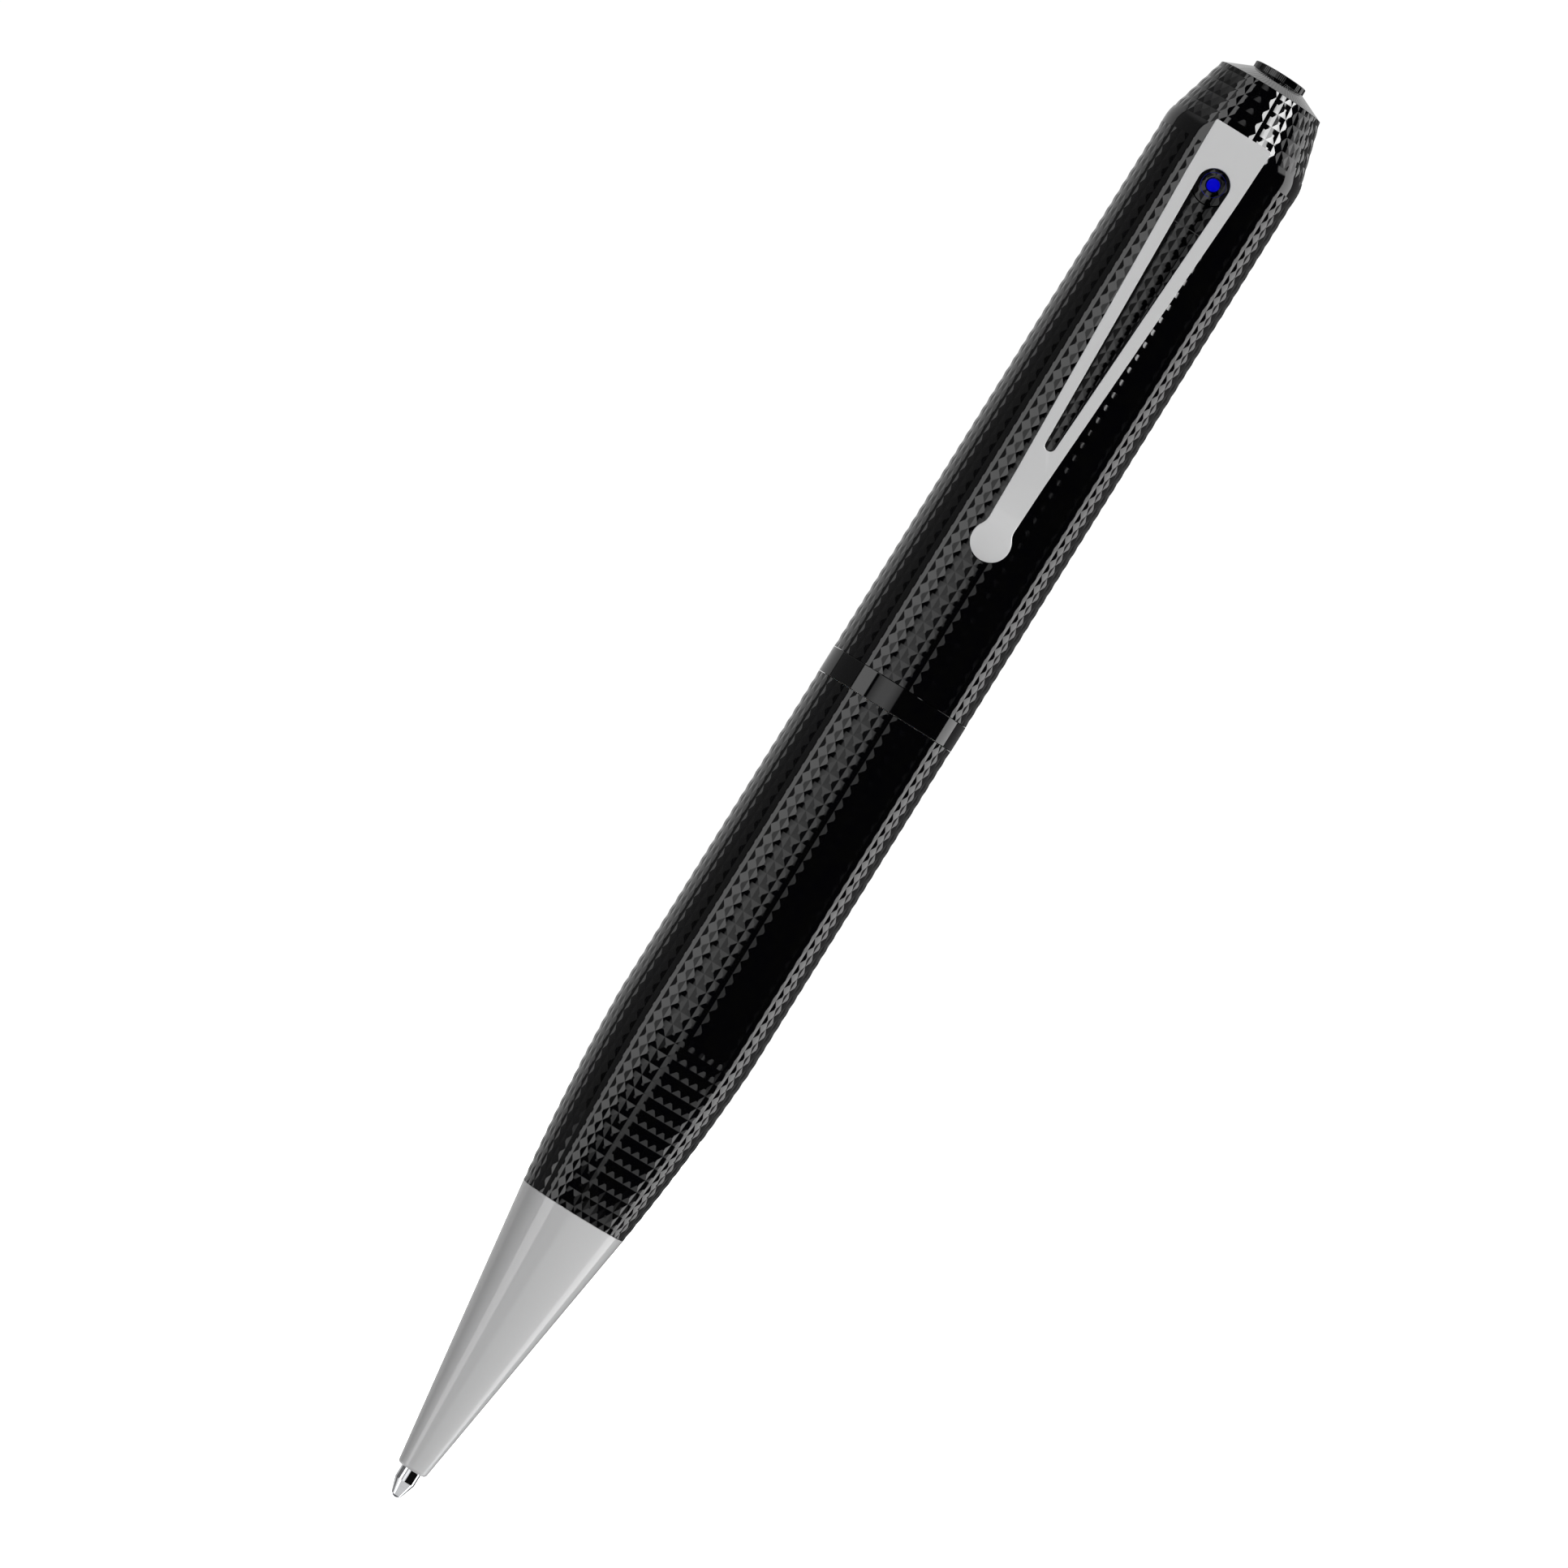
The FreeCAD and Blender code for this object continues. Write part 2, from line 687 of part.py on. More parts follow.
def makeMainBoard():
    back = "board_y + board_thickness"
    board = slab("main_board", "board_half_width", "board_y", back, "board_bottom_z", "board_top_z")
    keep(board, "main_board")
    keep(block("processor_chip", "-2", "2", back, f"{back} + 0.8", "82", "86"), "processor_chip")
    keep(block("charge_chip", "-3.2", "-1.2", back, f"{back} + 0.7", "87.5", "89.5"), "charge_chip")
    keep(block("clock_crystal", "0.4", "3", back, f"{back} + 0.6", "87.6", "89.2"), "clock_crystal")


def makeUsbPort():
    """A micro-B receptacle, open towards the tip."""
    low = "plug_bottom_z + 0.1"
    front = "board_y + board_thickness"
    shell = slab("usb_outside", "3.7", front, f"{front} + 2.5", low, f"{low} + 5.4")
    room = slab("usb_inside", "3.45", f"{front} + 0.25", f"{front} + 2.25", f"{low} - 1", f"{low} + 5.1")
    keep(cut("usb_shell", shell, room), "usb_shell")
    tongue = slab("usb_tongue", "1.9", f"{front} + 0.75", f"{front} + 1.35", f"{low} + 0.6", f"{low} + 5.1")
    keep(tongue, "usb_tongue")


def makeCardParts():
    card = slab(
        "card_blank", "card_half_width", "card_y", "card_y + card_thickness",
        "card_bottom_z", "card_bottom_z + card_length",
    )
    shoulder = block("card_shoulder", "4.2", "6", "-2", "1", "card_bottom_z + 9", "card_bottom_z + 16")
    keep(cut("memory_card", card, shoulder), "memory_card")
    shell = slab("socket_outside", "5.85", "-1.4", "board_y", "86.1", "92")
    mouth = slab(
        "socket_mouth", "card_half_width + running_gap", "card_y - running_gap",
        "card_y + card_thickness + running_gap", "86", "91.2",
    )
    keep(cut("card_socket", shell, mouth), "card_socket")


def makeResetSwitch():
    """A small button that is reached with a pin when the halves are apart."""
    shell = slab("reset_shell", "1.4", "-4.15", "-2.25", "76.3", "79.3")
    well = doc.addObject("Part::Cylinder", "reset_well")
    well.Radius = 0.65
    well.Height = 1.2
    place(well, "0", "-3.2", "76")
    keep(cut("reset_switch", shell, well), "reset_switch")
    button = doc.addObject("Part::Cylinder", "reset_button")
    button.Radius = 0.6
    button.Height = 2
    place(button, "0", "-3.2", "74.75")
    keep(button, "reset_button")


# ---------------------------------------------------------------- clip


def makeClipFoot():
    """The clip's root, which goes through the end cap's wall."""
    foot = slab("clip_foot", "foot_half_width", "0.95 - clip_face_y", "-4.7", "foot_bottom_z", "foot_top_z")
    keep(foot, "clip_foot")


def makePocketClip():
    """A flat strip that narrows to a neck and ends in a round paddle, with a slot over the lens."""
    strip = padded("clip_strip", "YZ_Plane", "2 * clip_top_half", [
        ("-clip_face_y", "clip_top_z"),
        ("-clip_face_y", "foot_bottom_z"),
        ("-clip_neck_y", "clip_neck_z"),
        ("-clip_neck_y - 0.35", "clip_bottom_z"),
        ("-clip_neck_y - 0.35 + clip_thickness", "clip_bottom_z"),
        ("-clip_neck_y + clip_thickness", "clip_neck_z"),
        ("-clip_face_y + clip_thickness", "foot_bottom_z"),
        ("-clip_face_y + clip_thickness", "clip_top_z"),
    ])
    waist = "clip_top_half - 0.14"
    neck = "clip_neck_half + 0.13"
    paddle_z = "clip_bottom_z + paddle_radius"
    face = padded("clip_outline", "XZ_Plane", "30", [
        ("clip_top_half", "clip_top_z"),
        ("-clip_top_half", "clip_top_z"),
        (f"-({waist})", "137.5"),
        (f"-({neck})", "107.4"),
        ("-clip_neck_half", "clip_neck_z"),
        ("-paddle_radius", f"{paddle_z} + 0.4"),
        ("-paddle_radius", paddle_z),
        ("0", "clip_bottom_z", "paddle_radius"),
        ("paddle_radius", paddle_z, "paddle_radius"),
        ("paddle_radius", f"{paddle_z} + 0.4"),
        ("clip_neck_half", "clip_neck_z"),
        (neck, "107.4"),
        (waist, "137.5"),
    ])
    slot = padded("clip_slot", "XZ_Plane", "30", [
        ("slot_top_half", "slot_top_z"),
        ("0", "slot_top_z + slot_top_half", "slot_top_half"),
        ("-slot_top_half", "slot_top_z", "slot_top_half"),
        ("-slot_low_half", "slot_low_z"),
        ("0", "slot_low_z - slot_low_half", "slot_low_half"),
        ("slot_low_half", "slot_low_z", "slot_low_half"),
    ])
    bump = doc.addObject("Part::Sphere", "clip_bump")
    bind(bump, "Radius", "bump_radius")
    place(bump, "0", "-clip_neck_y + clip_thickness - 0.15", "clip_neck_z + 1.2")
    blade = cut("clip_blade", common("clip_shape", strip, face), slot)
    keep(joined("pocket_clip", blade, bump), "pocket_clip")


makeNoseCone()
makeLowerBarrel()
makeGuideTube()
makeRefill()
makeRefillHolder()
makeRefillSpring()
makeTwistCore()
makeTwistTrim()
makeUpperBarrel()
makeWindow()
makeCamera()
makeCarrier()
makeEndCap()
makeCrown()
makeRecordButton()
makeTopBoard()
makeBattery()
makeFlexCable()
makeTailPlug()
makeMainBoard()
makeUsbPort()
makeCardParts()
makeResetSwitch()
makeClipFoot()
makePocketClip()

doc.recompute()
faults = [item.Name for item in doc.Objects if {"Invalid", "Error"} & set(item.State)]
faults += [piece.Label for piece in pieces if piece.Shape.isNull() or not piece.Shape.isValid()]
if faults:
    raise RuntimeError("failed objects: " + ", ".join(faults))
os.makedirs("parts", exist_ok=True)
for piece in pieces:
    piece.Shape.exportStep(f"parts/{piece.Label}.step")
    print(piece.Label, len(piece.Shape.Solids), round(piece.Shape.Volume, 3))
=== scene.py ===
import bmesh
import bpy
import math
from mathutils import Matrix, Vector


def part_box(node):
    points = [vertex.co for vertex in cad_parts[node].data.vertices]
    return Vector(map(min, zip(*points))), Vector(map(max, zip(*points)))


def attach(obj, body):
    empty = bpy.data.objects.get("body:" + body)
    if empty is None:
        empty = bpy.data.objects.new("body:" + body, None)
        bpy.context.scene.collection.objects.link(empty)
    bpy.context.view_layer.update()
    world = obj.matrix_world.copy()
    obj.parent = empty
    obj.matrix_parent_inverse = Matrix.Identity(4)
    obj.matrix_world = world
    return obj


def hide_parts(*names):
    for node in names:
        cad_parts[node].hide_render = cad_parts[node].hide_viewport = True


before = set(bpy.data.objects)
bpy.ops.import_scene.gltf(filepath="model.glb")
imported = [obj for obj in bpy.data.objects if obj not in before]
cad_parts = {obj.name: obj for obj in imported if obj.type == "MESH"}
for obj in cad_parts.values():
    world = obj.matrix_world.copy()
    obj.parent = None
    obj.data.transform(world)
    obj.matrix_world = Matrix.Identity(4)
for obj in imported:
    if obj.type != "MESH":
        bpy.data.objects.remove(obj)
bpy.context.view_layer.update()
print("frame loaded")

mm = 0.001  # outlines are drawn in millimetres and scaled when a piece is finished
tiny = 1e-4  # vertices this close are one
sameHeight = 1e-3  # heights this close are one row
roundSteps = 192  # faces round a piece as wide as the barrel
fineSteps = 96  # and round a small one


def edgeOf(node, end, axis):
    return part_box(node)[end][axis] / mm


barrelRadius = edgeOf("lower_barrel", 1, 0)
noseSeam = edgeOf("lower_barrel", 0, 2)
bandLow = edgeOf("joint_band", 0, 2)
bandHigh = edgeOf("joint_band", 1, 2)
barrelTop = edgeOf("upper_barrel", 1, 2)
rimTop = edgeOf("crown", 1, 2)
penTop = edgeOf("record_button", 1, 2)
lensHeight = (edgeOf("camera_window", 0, 2) + edgeOf("camera_window", 1, 2)) / 2


def linear(hexColour):
    parts = [int(hexColour[i:i + 2], 16) / 255 for i in (1, 3, 5)]
    parts = [p / 12.92 if p <= 0.04045 else ((p + 0.055) / 1.055) ** 2.4 for p in parts]
    return (*parts, 1.0)


def addNode(tree, kind, settings=None, links=None):
    node = tree.nodes.new(kind)
    for name, value in (settings or {}).items():
        if isinstance(name, int) or name in node.inputs:
            node.inputs[name].default_value = value
        else:
            setattr(node, name, value)
    for name, source in (links or {}).items():
        tree.links.new(source, node.inputs[name])
    return node


def newMaterial(name, settings=None):
    material = bpy.data.materials.new(name)
    material.use_nodes = True
    shader = material.node_tree.nodes["Principled BSDF"]
    for socket, value in (settings or {}).items():
        shader.inputs[socket].default_value = value
    return material, material.node_tree, shader


def makeFinish(name, look):
    # a surface whose colour, gloss and relief vary with one grain of a real size
    material, tree, shader = newMaterial(name, look.get("shader"))
    place = addNode(tree, "ShaderNodeTexCoord").outputs["Object"]
    stretch = look.get("stretch", (1, 1, 1))
    mapped = addNode(tree, "ShaderNodeMapping", {"Scale": stretch}, {"Vector": place})
    grain = addNode(tree, "ShaderNodeTexNoise",
                    {"Scale": 1 / (look["grainMm"] * mm), "Detail": look.get("detail", 4.0),
                     "Roughness": 0.6}, {"Vector": mapped.outputs[0]}).outputs["Fac"]
    weakest, strongest = 0.3, 0.7  # the noise hardly goes past these
    glossy, dull = look["roughness"]
    gloss = addNode(tree, "ShaderNodeMapRange",
                    {"From Min": weakest, "From Max": strongest, "To Min": glossy, "To Max": dull},
                    {"Value": grain})
    tree.links.new(gloss.outputs[0], shader.inputs["Roughness"])
    shade = addNode(tree, "ShaderNodeValToRGB", {}, {"Fac": grain})
    for stop, position, colour in zip(shade.color_ramp.elements, (weakest, strongest), look["colours"]):
        stop.position = position
        stop.color = linear(colour)
    tree.links.new(shade.outputs[0], shader.inputs["Base Color"])
    if look.get("reliefMm"):
        depth = {"Strength": 1.0, "Distance": look["reliefMm"] * mm}
        relief = addNode(tree, "ShaderNodeBump", depth, {"Height": grain})
        tree.links.new(relief.outputs[0], shader.inputs["Normal"])
    return material


finishes = {
    # stoved black lacquer over diamond-cut brass: deep black, mirror gloss, the faintest orange peel
    "lacqueredBrass": {"colours": ("#020202", "#010102"), "roughness": (0.03, 0.055), "grainMm": 1.6,
                       "detail": 2.0, "reliefMm": 0.0006, "shader": {"IOR": 1.5}},
    # satin nickel under clear lacquer: a soft even grey with a crisp thin reflection on top
    "satinNickel": {"colours": ("#B8B8B9", "#BEBEBE"), "roughness": (0.68, 0.76), "grainMm": 0.12,
                    "shader": {"Metallic": 1.0, "Coat Weight": 1.0, "Coat IOR": 1.5, "Coat Roughness": 0.04}},
    # polished nickel-silver writing point: near-mirror, faint turning marks
    "polishedPoint": {"colours": ("#D9DADC", "#CFD0D3"), "roughness": (0.04, 0.09), "grainMm": 0.3,
                      "stretch": (0.2, 0.2, 4), "shader": {"Metallic": 1.0}},
    # ground tungsten carbide ball: dark grey, fine matt grain
    "groundCarbide": {"colours": ("#5A5C60", "#6E7074"), "roughness": (0.25, 0.4), "grainMm": 0.05,
                      "shader": {"Metallic": 1.0}},
    # drawn spring wire: grey, with streaks along the wire
    "drawnSteel": {"colours": ("#8E9094", "#A8AAAE"), "roughness": (0.22, 0.38), "grainMm": 0.2,
                   "shader": {"Metallic": 1.0}},
    # stamped stainless sheet: rolled grain in one direction
    "stampedStainless": {"colours": ("#A9ABAE", "#BDBFC1"), "roughness": (0.24, 0.36), "grainMm": 0.4,
                         "stretch": (1, 1, 0.15), "shader": {"Metallic": 1.0}},
    # turned brass, left bright: yellow with rings from the tool
    "turnedBrass": {"colours": ("#C9A04C", "#D9B667"), "roughness": (0.2, 0.34), "grainMm": 0.35,
                    "stretch": (0.15, 0.15, 3), "reliefMm": 0.001, "shader": {"Metallic": 1.0}},
    # natural acetal moulding: milky off-white, slightly waxy
    "acetal": {"colours": ("#D9D6CB", "#E3E0D6"), "roughness": (0.38, 0.5), "grainMm": 0.8, "reliefMm": 0.001,
               "shader": {"IOR": 1.48, "Subsurface Weight": 0.15, "Subsurface Scale": 0.0005}},
    # black glass-filled nylon moulding: dull black with a fine spark-eroded texture
    "mouldedNylon": {"colours": ("#141414", "#1D1D1E"), "roughness": (0.45, 0.62), "grainMm": 0.15,
                     "reliefMm": 0.004, "shader": {"IOR": 1.53}},
    # nitrile rubber ring: soft black, barely shiny
    "nitrile": {"colours": ("#0E0E0F", "#171718"), "roughness": (0.5, 0.7), "grainMm": 0.2,
                "shader": {"IOR": 1.52}},
    # closed-cell foam pad: dark grey cells
    "closedCellFoam": {"colours": ("#1E1E20", "#38383B"), "roughness": (0.85, 0.95), "grainMm": 0.25,
                       "reliefMm": 0.05, "shader": {"IOR": 1.4}},
    # matt black epoxy mould compound on chips and the card
    "mouldedEpoxy": {"colours": ("#17171A", "#222226"), "roughness": (0.42, 0.55), "grainMm": 0.08,
                     "reliefMm": 0.001, "shader": {"IOR": 1.55}},
    # blue shrink film round the cell: glossy, with faint draw lines
    "shrinkFilm": {"colours": ("#1B4E86", "#20588F"), "roughness": (0.16, 0.28), "grainMm": 1.2,
                   "stretch": (1, 1, 0.3), "reliefMm": 0.004, "shader": {"IOR": 1.5}},
    # polyimide film with copper under it: amber and smooth
    "polyimide": {"colours": ("#B8651C", "#C9762A"), "roughness": (0.18, 0.3), "grainMm": 0.9,
                  "stretch": (4, 1, 0.2), "shader": {"IOR": 1.7}},
    # lens front with a deep blue anti-glare coating
    "coatedLens": {"colours": ("#0000E0", "#0000EC"), "roughness": (0.04, 0.08), "grainMm": 0.6,
                   "shader": {"IOR": 1.52, "Specular IOR Level": 0.05}},
    # anodised ring about the pinhole: dark blue, thin
    "blueAnodised": {"colours": ("#0C0C60", "#101078"), "roughness": (0.2, 0.3), "grainMm": 0.2,
                     "shader": {"Metallic": 0.6}},
    # ink paste seen in the tube
    "inkPaste": {"colours": ("#080F4A", "#0C1460"), "roughness": (0.15, 0.25), "grainMm": 0.8,
                 "shader": {"IOR": 1.45}},
    # clear resin of the light's dome
    "clearResin": {"colours": ("#C7D2D8", "#D4DEE3"), "roughness": (0.08, 0.14), "grainMm": 0.5,
                   "shader": {"IOR": 1.55, "Coat Weight": 0.5}},
    # polished silicon die of the sensor: violet grey
    "siliconDie": {"colours": ("#2A1F38", "#352A45"), "roughness": (0.08, 0.16), "grainMm": 0.3,
                   "shader": {"Metallic": 0.5}},
}
materials = {name: makeFinish(name, look) for name, look in finishes.items()}

board = {"trackMm": 0.5, "gap": 0.25, "trackLength": 6.0, "trackWidth": 0.9, "reliefMm": 0.02,
         "mask": "#0B4A26", "track": "#14693A", "roughness": 0.28}


def solderMask():
    # glass-epoxy board under green mask: thin raised tracks with gaps between them
    material, tree, shader = newMaterial("solderMask", {"Roughness": board["roughness"]})
    place = addNode(tree, "ShaderNodeTexCoord").outputs["Object"]
    track = linear(board["track"])
    tracks = addNode(tree, "ShaderNodeTexBrick",
                     {"Scale": 1 / (board["trackMm"] * mm), "Color1": track, "Color2": track,
                      "Mortar": linear(board["mask"]), "Mortar Size": board["gap"],
                      "Brick Width": board["trackLength"], "Row Height": board["trackWidth"]},
                     {"Vector": place})
    depth = {"Distance": board["reliefMm"] * mm}
    relief = addNode(tree, "ShaderNodeBump", depth, {"Height": tracks.outputs["Fac"]})
    relief.invert = True
    tree.links.new(tracks.outputs["Color"], shader.inputs["Base Color"])
    tree.links.new(relief.outputs[0], shader.inputs["Normal"])
    return material


def windowGlass():
    # thin flat cover glass with an anti-glare coating: clear, hardly any reflection
    settings = {"Base Color": linear("#F2F4FF"), "Transmission Weight": 1.0, "Roughness": 0.0, "IOR": 1.05}
    return newMaterial("windowGlass", settings)[0]


materials["solderMask"] = solderMask()
materials["windowGlass"] = windowGlass()
print("finishes made")


def turn(bm, outline, steps):
    # a closed (radius, height) outline, spun about the pen's axis
    edges = loopOf(bm, outline)
    bmesh.ops.spin(bm, geom=bm.verts[:] + edges, cent=(0, 0, 0), axis=(0, 0, 1), angle=2 * math.pi,
                   steps=steps, use_merge=True)
    bmesh.ops.remove_doubles(bm, verts=bm.verts, dist=tiny)
    bmesh.ops.delete(bm, geom=[e for e in bm.edges if e.is_wire], context="EDGES")
    bmesh.ops.recalc_face_normals(bm, faces=bm.faces)


def loopOf(bm, points):
    verts = [bm.verts.new((x, 0, z)) for x, z in points]
    return [bm.edges.new((verts[i - 1], verts[i])) for i in range(len(verts))]


def arcPoints(centre, radius, begin, end, steps):
    angles = [math.radians(begin + (end - begin) * k / steps) for k in range(steps + 1)]
    return [(centre[0] + radius * math.cos(a), centre[1] + radius * math.sin(a)) for a in angles]


def cutAcross(bm, height, side=0):
    # a level cut; with a side, what is past it goes, above for 1 and below for -1
    bmesh.ops.bisect_plane(bm, geom=bm.verts[:] + bm.edges[:] + bm.faces[:], dist=tiny / 10,
                           plane_co=(0, 0, height), plane_no=(0, 0, side or 1), clear_outer=side != 0)


def bevelEdges(bm, edges, width, segments):
    bmesh.ops.bevel(bm, geom=edges, affect="EDGES", offset=width, segments=segments, profile=0.5, material=-1)


def smoothShade(bm, angle=30):
    # an edge that turns by less than the angle, in degrees, is shaded round
    bm.normal_update()
    for face in bm.faces:
        face.smooth = True
    for edge in bm.edges:
        edge.smooth = edge.is_manifold and edge.calc_face_angle() < math.radians(angle)


def toObject(bm, name):
    mesh = bpy.data.meshes.new(name)
    bm.to_mesh(mesh)
    bm.free()
    piece = bpy.data.objects.new(name, mesh)
    bpy.context.scene.collection.objects.link(piece)
    return piece


def joinTo(bm, extra):
    mesh = bpy.data.meshes.new("extra")
    extra.to_mesh(mesh)
    extra.free()
    bm.from_mesh(mesh)


def carve(piece, cutter, operation="DIFFERENCE"):
    modifier = piece.modifiers.new("carve", "BOOLEAN")
    modifier.object = cutter
    modifier.operation = operation
    modifier.solver = "EXACT"
    shaped = bpy.data.meshes.new_from_object(piece.evaluated_get(bpy.context.evaluated_depsgraph_get()))
    piece.modifiers.remove(modifier)
    piece.data = shaped
    bpy.data.objects.remove(cutter)


def settle(piece, body, material, nodes=()):
    # to metres, with its finish, on its body, in place of the nodes that it shows better
    piece.data.transform(Matrix.Scale(mm, 4))
    piece.data.materials.clear()
    piece.data.materials.append(materials[material])
    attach(piece, body)
    if nodes:
        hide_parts(*nodes)


cuts = {
    "columns": 40,
    "firstValley": -1.8,  # degrees to the right of the clip's middle
    "pitch": 1.317,
    "depth": 0.052,
    "flat": 0.2,  # part of each pyramid's width left as a flat top
    "steps": 10,  # faces across a pyramid
    "lowerRow": 82.15,  # a height where two rows of the lower barrel meet
    "upperRow": 86.12,
    "taperRow": 142.66,
    "inset": 0.005,  # the tops stay this far inside the plain barrel
    "bandGap": 0.05,  # and the skins this far from the smooth band
}


def cutSkin(bm, rows, low, high):
    # rows are (radius, height) where two rings of pyramids meet: turned grooves cross straight ones
    begin = math.radians(cuts["firstValley"] - 90)
    depth, flat, inset = cuts["depth"], cuts["flat"], cuts["inset"]
    columnAngle = 2 * math.pi / cuts["columns"]
    outline = []
    for (radius, height), (_, nextHeight) in zip(rows, rows[1:]):
        outline += [(radius - depth, height + (nextHeight - height) * part) for part in (0, 1 / 3, 2 / 3)]
    outline.append((rows[-1][0] - depth, rows[-1][1]))
    turned = Matrix.Rotation(begin, 4, "Z")
    verts = [bm.verts.new(turned @ Vector((radius, 0, height))) for radius, height in outline]
    edges = [bm.edges.new(pair) for pair in zip(verts, verts[1:])]
    bmesh.ops.spin(bm, geom=verts + edges, cent=(0, 0, 0), axis=(0, 0, 1), angle=2 * math.pi,
                   steps=cuts["columns"] * cuts["steps"], use_merge=True)
    bmesh.ops.remove_doubles(bm, verts=bm.verts, dist=tiny)
    for vert in bm.verts:
        row = max(k for k in range(len(rows)) if rows[k][1] < vert.co.z + sameHeight)
        if abs(rows[row][1] - vert.co.z) < sameHeight:
            vert.co.xy *= 1 - inset / vert.co.xy.length
            continue
        (radius, height), (nextRadius, nextHeight) = rows[row], rows[row + 1]
        angle = math.atan2(vert.co.y, vert.co.x)
        across = 2 * (((angle - begin) / columnAngle) % 1) - 1  # -1 in one straight groove, 1 in the next
        up = 1 if vert.co.z > (height + nextHeight) / 2 else -1
        part = 0.5 + up * max(flat, abs(across)) / 2
        top = radius + (nextRadius - radius) * part - inset
        if abs(across) <= flat + tiny:
            vert.co.xy = Matrix.Rotation(angle, 2) @ Vector((top, 0))
        else:
            middle = angle - across * columnAngle / 2
            side = math.copysign(columnAngle / 2, across)
            shoulder = Matrix.Rotation(middle + side * flat, 2) @ Vector((top, 0))
            valley = Matrix.Rotation(middle + side, 2) @ Vector((top - depth, 0))
            vert.co.xy = shoulder.lerp(valley, (abs(across) - flat) / (1 - flat))
        vert.co.z = height + (nextHeight - height) * part
    bmesh.ops.remove_doubles(bm, verts=bm.verts, dist=tiny)
    for face in bm.faces:
        face.normal_update()
        outward = face.calc_center_median()
        outward.z = 0
        if face.normal.dot(outward) < 0:
            face.normal_flip()
    cutAcross(bm, low, -1)
    cutAcross(bm, high, 1)


def closeWall(bm, bores):
    # in from the lower rim, up the bore through each (radius, height), and out to the upper rim
    middle = sum(v.co.z for v in bm.verts) / len(bm.verts)
    rims = [e for e in bm.edges if e.is_boundary]
    upper = [e for e in rims if e.verts[0].co.z > middle]
    loop = [e for e in rims if e.verts[0].co.z < middle]
    for radius, height in bores:
        made = bmesh.ops.extrude_edge_only(bm, edges=loop)["geom"]
        loop = [e for e in made if isinstance(e, bmesh.types.BMEdge)]
        for vert in made:
            if isinstance(vert, bmesh.types.BMVert):
                vert.co.xy *= radius / vert.co.xy.length
                vert.co.z = height
    bmesh.ops.bridge_loops(bm, edges=loop + upper)
    bmesh.ops.recalc_face_normals(bm, faces=bm.faces)
    smoothShade(bm, 3)


def rowHeights(start, low, high):
    first = math.floor((low - start) / cuts["pitch"])
    last = math.ceil((high - start) / cuts["pitch"])
    return [start + cuts["pitch"] * k for k in range(first, last + 1)]


swell = {"seamRadius": 5.27, "topHeight": 49.2, "radius": 208.0, "wall": 0.69, "spigotBore": 4.45,
         "spigotTop": 35.05, "seamGap": 0.03}


def lowerRadius(height):
    # the lower barrel swells from the nose seam to the straight part on one large arc
    seam = Vector((swell["seamRadius"], noseSeam))
    top = Vector((barrelRadius, swell["topHeight"]))
    if height >= top.y:
        return barrelRadius
    chord = top - seam
    aside = Vector((-chord.y, chord.x)).normalized()
    centre = (seam + top) / 2 + aside * math.sqrt(swell["radius"] ** 2 - (chord.length / 2) ** 2)
    return centre.x + math.sqrt(swell["radius"] ** 2 - (height - centre.y) ** 2)


def makeLowerBarrel():
    bm = bmesh.new()
    heights = rowHeights(cuts["lowerRow"], noseSeam, bandLow)
    low, high = noseSeam + swell["seamGap"], bandLow - cuts["bandGap"]
    cutSkin(bm, [(lowerRadius(z), z) for z in heights], low, high)
    inside = [(lowerRadius(z) - swell["wall"], z) for z in heights if swell["spigotTop"] < z < high]
    closeWall(bm, [(swell["spigotBore"], low), (swell["spigotBore"], swell["spigotTop"]), *inside,
                   (barrelRadius - swell["wall"], high)])
    settle(toObject(bm, "cutLowerBarrel"), "lower_half", "lacqueredBrass", ["lower_barrel"])


window = {
    "seat": 1.96,
    "gap": 0.11,
    "mouth": 0.72,
    "reach": 2.5,  # the insert's blank goes this far above and below the lens
    "rowReach": 4,
    "cutterEnd": 2,  # cutters start this far in front of the barrel and end this far from its axis
    "wall": 0.69,
    "ring": 1.13,
    "ringWidth": 0.05,
    "ringBack": 1.02,
    "ringInset": 0.008,
    "seamHeight": 133.5,
    "seamWidth": 0.07,
    "seamHalf": 1.55,
    "seamMiddle": 0.28,  # the scribed line's cutter is centred this far in front of the barrel
}


def makeWall(name, heights, low, high):
    bm = bmesh.new()
    cutSkin(bm, [(barrelRadius, z) for z in heights], low, high)
    bore = barrelRadius - window["wall"]
    closeWall(bm, [(bore, low), (bore, high)])
    return toObject(bm, name)


def makeRod(radius):
    # a rod through the front wall, level with the lens
    front, back = -barrelRadius - window["cutterEnd"], -window["cutterEnd"]
    bm = bmesh.new()
    place = Matrix.Translation((0, (front + back) / 2, lensHeight)) @ Matrix.Rotation(math.pi / 2, 4, "X")
    bmesh.ops.create_cone(bm, cap_ends=True, segments=fineSteps, radius1=radius, radius2=radius,
                          depth=back - front, matrix=place)
    return toObject(bm, "rod")


def makeUpperBarrel():
    heights = rowHeights(cuts["upperRow"], bandHigh, barrelTop)
    barrel = makeWall("cutUpperBarrel", heights, bandHigh + cuts["bandGap"], barrelTop)
    carve(barrel, makeRod(window["seat"]))
    line = bmesh.new()
    place = Matrix.Translation((0, -barrelRadius - window["seamMiddle"], window["seamHeight"]))
    size = Matrix.Diagonal((2 * window["seamHalf"], 1.0, window["seamWidth"], 1))
    bmesh.ops.create_cube(line, size=1, matrix=place @ size)
    carve(barrel, toObject(line, "lineCutter"))
    settle(barrel, "upper_half", "lacqueredBrass", ["upper_barrel"])


